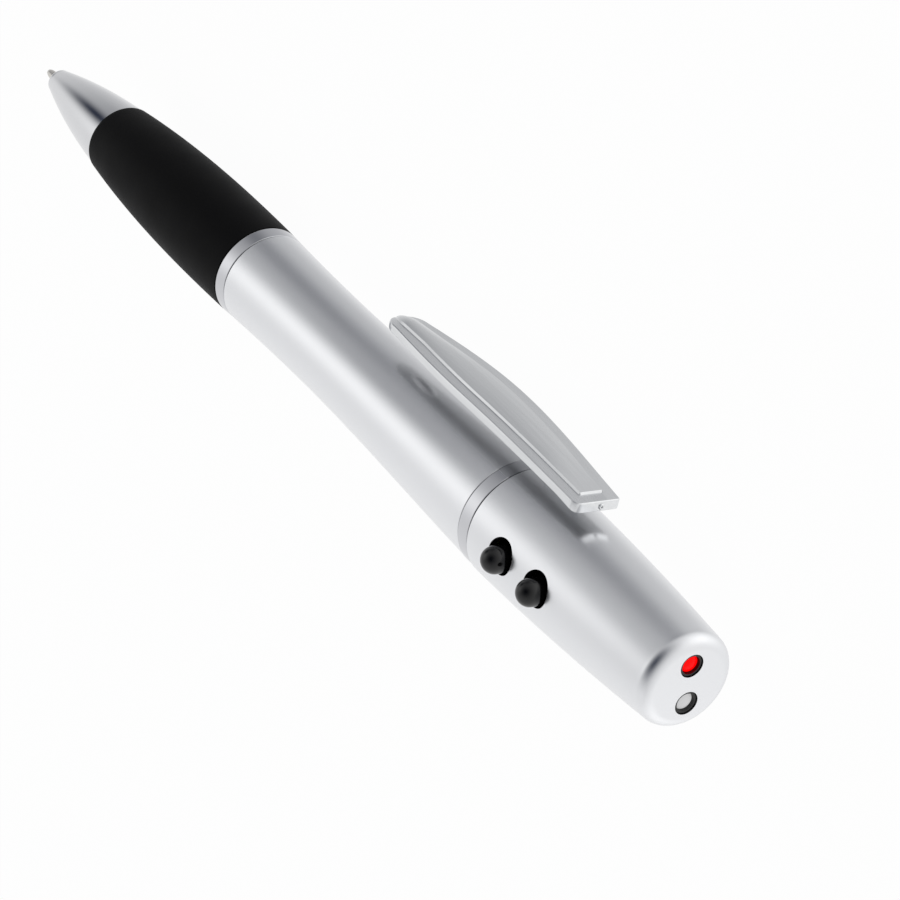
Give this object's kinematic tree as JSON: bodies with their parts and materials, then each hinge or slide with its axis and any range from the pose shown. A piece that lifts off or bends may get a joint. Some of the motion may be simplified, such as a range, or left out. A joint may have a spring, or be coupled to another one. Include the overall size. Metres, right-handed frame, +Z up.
{
  "type": "laser pointer pen",
  "caption": "Twist-action ballpoint pen with a rubber grip, pocket clip, and a laser pointer and lamp in its end worked by push buttons on its side.",
  "frame": {"origin": "on the surface the pen lies on, under the middle of its box", "axes": "+X along the pen from the writing tip to the lamp end, +Z up; the clip points towards +Y and a little down, and the buttons point up"},
  "size_m": [0.1396, 0.018, 0.0154],
  "materials": {
    "satin_silver": "satin silver lacquer",
    "polished_metal": "polished",
    "clip_chrome": "fine lengthwise brushing with polished edges",
    "black_rubber": "matte soft touch",
    "gloss_black": "glossy",
    "matte_black": "matte",
    "brass": "turned",
    "steel": "satin",
    "white_plastic": "moulded",
    "board_green": "solder mask",
    "clear_glass": "clear",
    "red_lens": "clear red"
  },
  "bodies": {
    "lower": {"nose_cone": "polished_metal", "grip_liner": "brass", "rubber_grip": "black_rubber", "grip_ring": "polished_metal", "lower_barrel": "satin_silver", "centre_ring": "polished_metal", "mechanism_sleeve": "brass"},
    "refill": {"refill_tip": "steel", "refill_tube": "brass", "refill_carrier": "white_plastic"},
    "upper": {"cam_tube": "brass", "drive_collar": "brass", "cell_tube": "brass", "cell_spring": "steel", "cell_1": "steel", "cell_2": "steel", "cell_3": "steel", "contact_block": "matte_black", "contact_pin": "brass", "upper_housing": "satin_silver", "circuit_board": "board_green", "front_switch": "matte_black", "rear_switch": "matte_black", "laser_barrel": "brass", "laser_diode": "steel", "laser_lens": "red_lens", "lamp": "clear_glass", "end_insert": "matte_black"},
    "front_button": {"front_button": "gloss_black"},
    "rear_button": {"rear_button": "gloss_black"},
    "clip": {"clip": "clip_chrome"}
  },
  "joints": [
    {"name": "twist", "type": "hinge", "parent": "lower", "child": "upper", "pos_m": [0.03735, -0.00212, 0.00688], "axis": [1, 0, 0], "range_deg": [0, 180]},
    {"name": "refill_travel", "type": "slide", "parent": "lower", "child": "refill", "axis": [1, 0, 0], "range_m": [0, 0.005]},
    {"name": "front_button_press", "type": "slide", "parent": "upper", "child": "front_button", "axis": [0, -0.3175, -0.9483], "range_m": [0, 0.0005], "stiffness_N_per_m": 1500, "springref_m": -0.0002},
    {"name": "rear_button_press", "type": "slide", "parent": "upper", "child": "rear_button", "axis": [0, -0.3175, -0.9483], "range_m": [0, 0.0005], "stiffness_N_per_m": 1500, "springref_m": -0.0002},
    {"name": "clip_flex", "type": "hinge", "parent": "upper", "child": "clip", "pos_m": [0.04255, 0.00399, 0.00483], "axis": [0, -0.3175, -0.9483], "range_deg": [0, 3.5], "stiffness_Nm_per_rad": 1.5}
  ],
  "couplings": [
    {"joint": "refill_travel", "follows": "twist", "m_per_rad": 0.0015915}
  ]
}
